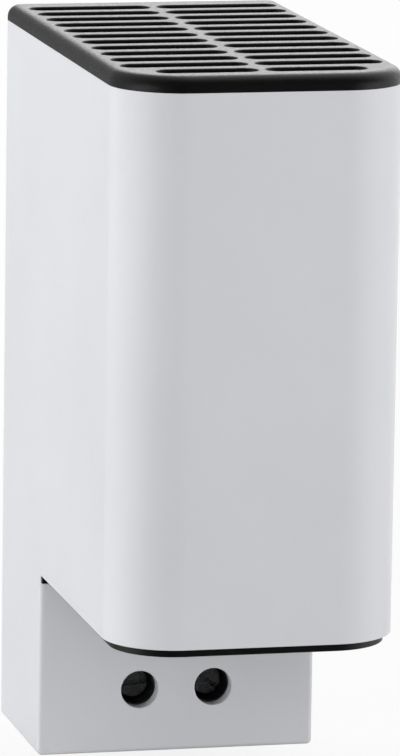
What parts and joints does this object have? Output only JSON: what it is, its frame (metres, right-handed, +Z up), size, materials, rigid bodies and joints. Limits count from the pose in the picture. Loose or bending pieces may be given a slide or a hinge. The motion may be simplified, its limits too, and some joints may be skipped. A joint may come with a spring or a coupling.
{
  "type": "enclosure heater",
  "caption": "Tall rounded heater for control cabinets, with slotted black air grilles above and below, a set-back terminal base and a sprung rail latch on its back.",
  "frame": {"origin": "centre of the rail seat on the back, on the rail's centre line", "axes": "+X to the right seen from the front, +Y out of the back into the rail, +Z up"},
  "size_m": [0.038, 0.076, 0.1025],
  "materials": {
    "casing": "light grey moulded plastic, finely textured",
    "grille": "black moulded plastic, satin",
    "sink": "extruded, as drawn",
    "stone": "fired ceramic",
    "film": "amber film",
    "live_insulation": "silicone, brown",
    "neutral_insulation": "silicone, blue",
    "block": "black moulded plastic",
    "bar": "stamped strip",
    "clamp": "zinc plated",
    "latch": "black moulded plastic",
    "spring": "spring wire"
  },
  "bodies": {
    "casing": {"housing": "casing", "base_cover": "casing", "top_grille": "grille", "bottom_grille": "grille", "heat_sink": "sink", "ptc_stones": "stone", "live_electrode": "sink", "neutral_electrode": "sink", "film_sleeve": "film", "live_lead": "live_insulation", "neutral_lead": "neutral_insulation", "terminal_block": "block", "live_bar": "bar", "neutral_bar": "bar", "latch_spring": "spring"},
    "live_screw": {"live_screw": "clamp"},
    "neutral_screw": {"neutral_screw": "clamp"},
    "live_cage": {"live_cage": "clamp"},
    "neutral_cage": {"neutral_cage": "clamp"},
    "latch": {"rail_latch": "latch"}
  },
  "joints": [
    {"name": "live_screw_turn", "type": "hinge", "parent": "casing", "child": "live_screw", "pos_m": [-0.00507, -0.0224, -0.0354], "axis": [0, 1, 0], "range_deg": [0, 2160]},
    {"name": "neutral_screw_turn", "type": "hinge", "parent": "casing", "child": "neutral_screw", "pos_m": [0.00507, -0.0224, -0.0354], "axis": [0, 1, 0], "range_deg": [0, 2160]},
    {"name": "live_cage_slide", "type": "slide", "parent": "casing", "child": "live_cage", "axis": [0, -1, 0], "range_m": [0, 0.003]},
    {"name": "neutral_cage_slide", "type": "slide", "parent": "casing", "child": "neutral_cage", "axis": [0, -1, 0], "range_m": [0, 0.003]},
    {"name": "latch_slide", "type": "slide", "parent": "casing", "child": "latch", "axis": [0, 0, -1], "range_m": [0, 0.003], "stiffness_N_per_m": 900, "springref_m": -0.004, "deforming": ["latch_spring"]}
  ],
  "couplings": [
    {"joint": "live_screw_turn", "follows": "live_cage_slide", "rad_per_m": 12566},
    {"joint": "neutral_screw_turn", "follows": "neutral_cage_slide", "rad_per_m": 12566}
  ]
}
